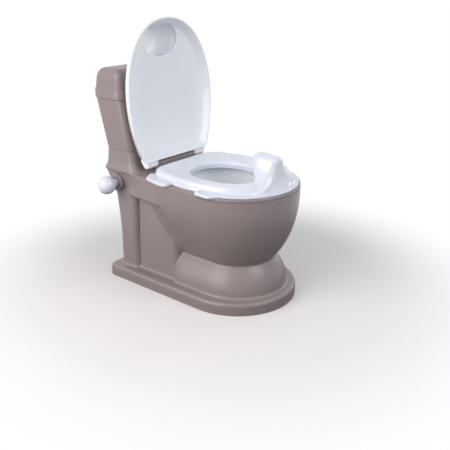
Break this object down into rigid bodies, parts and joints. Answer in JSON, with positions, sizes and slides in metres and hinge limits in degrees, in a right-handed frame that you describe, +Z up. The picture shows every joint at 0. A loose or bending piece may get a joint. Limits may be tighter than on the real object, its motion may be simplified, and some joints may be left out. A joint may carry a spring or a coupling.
{
  "type": "potty training chair",
  "caption": "Toddler potty chair shaped like a small household toilet, with hinged lid, lift-off seat ring with splash guard, removable pot, cistern lid and turning flush knob.",
  "frame": {"origin": "middle of the plinth's underside, on the floor", "axes": "+Z up, -Y towards the front, where the child's legs go; +X to the left of a child who sits on the seat"},
  "size_m": [0.269, 0.3925, 0.5046],
  "materials": {
    "body_plastic": "satin taupe-grey moulded polypropylene",
    "white_plastic": "glossy white moulded polypropylene",
    "steel": "zinc-plated steel",
    "pad_rubber": "matt soft rubber"
  },
  "bodies": {
    "body": {"body_shell": "body_plastic", "base_plate": "body_plastic", "base_screws": "steel", "foot_pads": "pad_rubber", "tank_shell": "body_plastic", "tank_screws": "steel", "hinge_block": "body_plastic", "hinge_screws": "steel", "hinge_pins": "white_plastic", "shaft_bush": "body_plastic", "bush_nut": "white_plastic", "spring_bracket": "steel", "click_spring": "steel", "spring_rivet": "steel"},
    "lid": {"toilet_lid": "white_plastic"},
    "pot": {"pot": "white_plastic"},
    "seat": {"seat_ring": "white_plastic"},
    "cistern_lid": {"tank_lid": "body_plastic"},
    "knob": {"knob_ball": "white_plastic", "knob_shaft": "steel", "click_wheel": "white_plastic", "shaft_clip": "steel"}
  },
  "joints": [
    {"name": "lid_hinge", "type": "hinge", "parent": "body", "child": "lid", "pos_m": [0, 0.094, 0.237], "axis": [1, 0, 0], "range_deg": [0, 94.5]},
    {"name": "pot_lift", "type": "slide", "parent": "body", "child": "pot", "axis": [0, 0, 1], "range_m": [0, 0.19]},
    {"name": "seat_lift", "type": "slide", "parent": "pot", "child": "seat", "axis": [0, 0, 1], "range_m": [0, 0.1]},
    {"name": "cistern_lid_lift", "type": "slide", "parent": "body", "child": "cistern_lid", "axis": [0, 0.1822, 0.9833], "range_m": [0, 0.008]},
    {"name": "knob_turn", "type": "hinge", "parent": "body", "child": "knob", "pos_m": [-0.0975, 0.155, 0.199], "axis": [1, 0, 0], "continuous": true, "deforming": ["click_spring"]}
  ]
}
